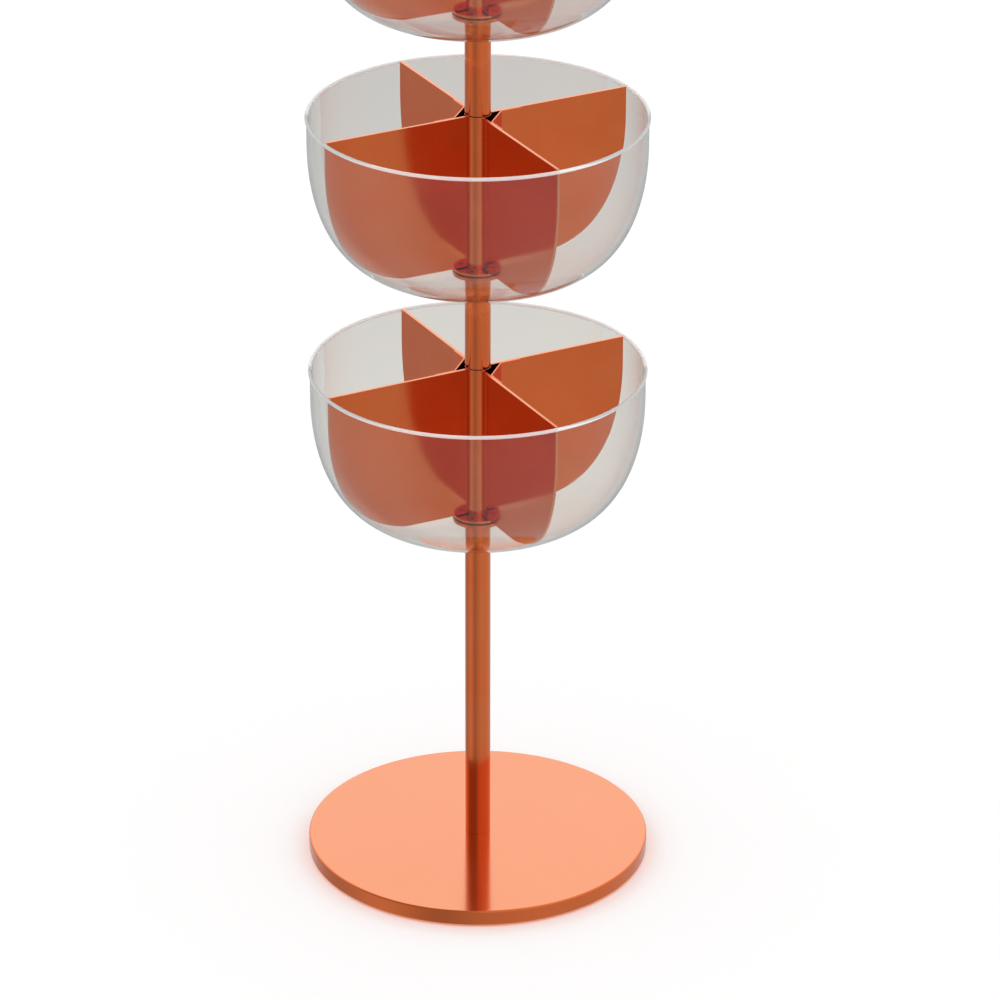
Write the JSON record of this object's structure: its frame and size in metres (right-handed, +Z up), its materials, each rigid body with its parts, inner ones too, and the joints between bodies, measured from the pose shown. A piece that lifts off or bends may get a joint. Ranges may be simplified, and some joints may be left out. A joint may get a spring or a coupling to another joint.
{
  "type": "tiered bowl display stand",
  "caption": "Free-standing display stand: clear bowls on a slim copper-finish pole over a round base, each split into four by upright panels and free to turn.",
  "frame": {"origin": "middle of the footprint, on the floor", "axes": "+Z up along the pole; the divider panels stand along +X, +Y, -X and -Y; the two closed corners are between -X and +Y and between +X and -Y"},
  "size_m": [0.343, 0.343, 1.0929],
  "materials": {
    "copper_plate": "copper-plated, polished",
    "clear_acrylic": "clear moulded acrylic, polished rim",
    "plain_steel": "zinc-plated",
    "nylon": "black nylon",
    "rubber": "matt"
  },
  "bodies": {
    "stand": {"base_plate": "copper_plate", "floor_pads": "rubber", "base_washer": "plain_steel", "base_nut": "plain_steel", "centre_shaft": "plain_steel", "top_nut": "plain_steel", "top_cap": "copper_plate", "pole_tube_1": "copper_plate", "tube_plugs_1": "nylon", "pole_tube_2": "copper_plate", "tube_plugs_2": "nylon", "pole_tube_3": "copper_plate", "tube_plugs_3": "nylon", "pole_tube_4": "copper_plate", "tube_plugs_4": "nylon", "thrust_washer_1": "nylon", "glide_washer_1": "nylon", "thrust_washer_2": "nylon", "glide_washer_2": "nylon", "thrust_washer_3": "nylon", "glide_washer_3": "nylon"},
    "bowl_unit_1": {"bowl_1": "clear_acrylic", "hub_tube_1": "copper_plate", "panel_east_1": "copper_plate", "panel_north_1": "copper_plate", "panel_west_1": "copper_plate", "panel_south_1": "copper_plate", "bracket_left_1": "copper_plate", "bracket_right_1": "copper_plate", "bowl_flange_1": "copper_plate", "bowl_gasket_1": "rubber", "clamp_ring_1": "copper_plate", "clamp_screws_1": "plain_steel", "hub_bushes_1": "nylon"},
    "bowl_unit_2": {"bowl_2": "clear_acrylic", "hub_tube_2": "copper_plate", "panel_east_2": "copper_plate", "panel_north_2": "copper_plate", "panel_west_2": "copper_plate", "panel_south_2": "copper_plate", "bracket_left_2": "copper_plate", "bracket_right_2": "copper_plate", "bowl_flange_2": "copper_plate", "bowl_gasket_2": "rubber", "clamp_ring_2": "copper_plate", "clamp_screws_2": "plain_steel", "hub_bushes_2": "nylon"},
    "bowl_unit_3": {"bowl_3": "clear_acrylic", "hub_tube_3": "copper_plate", "panel_east_3": "copper_plate", "panel_north_3": "copper_plate", "panel_west_3": "copper_plate", "panel_south_3": "copper_plate", "bracket_left_3": "copper_plate", "bracket_right_3": "copper_plate", "bowl_flange_3": "copper_plate", "bowl_gasket_3": "rubber", "clamp_ring_3": "copper_plate", "clamp_screws_3": "plain_steel", "hub_bushes_3": "nylon"}
  },
  "joints": [
    {"name": "bowl_1_spin", "type": "hinge", "parent": "stand", "child": "bowl_unit_1", "pos_m": [0, 0, 0.531], "axis": [0, 0, 1], "continuous": true},
    {"name": "bowl_2_spin", "type": "hinge", "parent": "stand", "child": "bowl_unit_2", "pos_m": [0, 0, 0.795], "axis": [0, 0, 1], "continuous": true},
    {"name": "bowl_3_spin", "type": "hinge", "parent": "stand", "child": "bowl_unit_3", "pos_m": [0, 0, 1.059], "axis": [0, 0, 1], "continuous": true}
  ]
}
